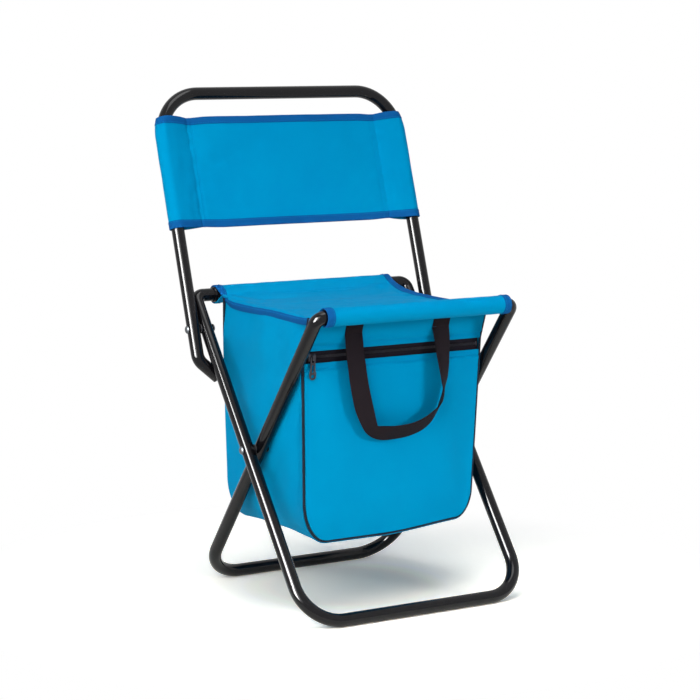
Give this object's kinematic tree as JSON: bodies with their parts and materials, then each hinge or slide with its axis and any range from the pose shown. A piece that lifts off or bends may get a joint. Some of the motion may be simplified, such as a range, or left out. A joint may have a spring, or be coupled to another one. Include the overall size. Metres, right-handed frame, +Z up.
{
  "type": "folding cooler stool with backrest",
  "caption": "Folding stool of crossed round steel loops with a fabric sling seat, a fabric band backrest that folds down, and a zipped insulated bag hung under the seat",
  "frame": {"origin": "centre of the bounding box on the floor", "axes": "+Z up, front towards -Y, +X to the right seen from the front"},
  "size_m": [0.3678, 0.3514, 0.6183],
  "materials": {
    "black_enamel": "gloss black stoved enamel on round steel tube",
    "zinc_rivet": "bright zinc plated, domed",
    "dark_metal": "black painted zip metal",
    "black_plastic": "moulded black plastic",
    "blue_cloth": "plain weave coated polyester, bright blue",
    "blue_binding": "woven edge binding, deeper blue",
    "black_webbing": "ribbed black webbing, zip tape and piping",
    "foil_lining": "silver foil on thin foam"
  },
  "bodies": {
    "outer_legs": {"outer_leg_frame": "black_enamel", "rear_seat_rail": "black_enamel", "crossing_rivet_left": "zinc_rivet", "crossing_rivet_right": "zinc_rivet", "crossing_washer_left": "black_plastic", "crossing_washer_right": "black_plastic", "backrest_rivet_left": "zinc_rivet", "backrest_rivet_right": "zinc_rivet", "backrest_washer_left": "black_plastic", "backrest_washer_right": "black_plastic", "seat_sling": "blue_cloth", "seat_binding_left": "blue_binding", "seat_binding_right": "blue_binding"},
    "inner_legs": {"inner_leg_frame": "black_enamel", "front_seat_rail": "black_enamel"},
    "backrest": {"backrest_frame": "black_enamel", "backrest_plug_left": "black_plastic", "backrest_plug_right": "black_plastic", "backrest_band": "blue_cloth", "backrest_binding_top": "blue_binding", "backrest_binding_bottom": "blue_binding"},
    "bag": {"bag_gusset": "blue_cloth", "bag_side_lining": "foil_lining"},
    "bag_front": {"bag_front_panel": "blue_cloth", "bag_front_top_strip": "blue_cloth", "bag_front_piping": "black_webbing", "bag_front_lining": "foil_lining", "zip_tape_upper": "black_webbing", "zip_tape_lower": "black_webbing", "zip_coil": "black_webbing", "zip_stop_left": "dark_metal", "zip_stop_right": "dark_metal", "handle_end_left": "black_webbing", "handle_end_right": "black_webbing"},
    "bag_back": {"bag_back_panel": "blue_cloth", "bag_back_piping": "black_webbing", "bag_back_lining": "foil_lining"},
    "zip_slider_body": {"zip_slider": "dark_metal"},
    "zip_pull_body": {"zip_pull": "dark_metal"},
    "handle": {"carry_handle": "black_webbing"}
  },
  "joints": [
    {"name": "scissor_fold", "type": "hinge", "parent": "outer_legs", "child": "inner_legs", "pos_m": [0, -0.02786, 0.19224], "axis": [-1, 0, 0], "range_deg": [0, 60], "deforming": ["seat_sling", "seat_binding_left", "seat_binding_right", "bag_gusset", "bag_side_lining"]},
    {"name": "backrest_fold", "type": "hinge", "parent": "outer_legs", "child": "backrest", "pos_m": [0, 0.07462, 0.32726], "axis": [1, 0, 0], "range_deg": [0, 92]},
    {"name": "bag_hang", "type": "hinge", "parent": "outer_legs", "child": "bag", "pos_m": [0, -0.02786, 0.19224], "axis": [-1, 0, 0], "range_deg": [0, 30]},
    {"name": "bag_front_slide", "type": "slide", "parent": "bag", "child": "bag_front", "axis": [0, 1, 0], "range_m": [0, 0.0628]},
    {"name": "bag_back_slide", "type": "slide", "parent": "bag", "child": "bag_back", "axis": [0, -1, 0], "range_m": [0, 0.089]},
    {"name": "zip_slide", "type": "slide", "parent": "bag_front", "child": "zip_slider_body", "axis": [1, 0, 0], "range_m": [0, 0.228]},
    {"name": "pull_swing", "type": "hinge", "parent": "zip_slider_body", "child": "zip_pull_body", "pos_m": [-0.11459, -0.11127, 0.31124], "axis": [-1, 0, 0], "range_deg": [0, 80]},
    {"name": "handle_swing", "type": "hinge", "parent": "bag_front", "child": "handle", "pos_m": [0, -0.11735, 0.33774], "axis": [-1, 0, 0], "range_deg": [0, 68]}
  ],
  "couplings": [
    {"joint": "bag_hang", "follows": "scissor_fold", "ratio": 0.5},
    {"joint": "bag_front_slide", "follows": "scissor_fold", "m_per_rad": 0.06},
    {"joint": "bag_back_slide", "follows": "scissor_fold", "m_per_rad": 0.085}
  ]
}
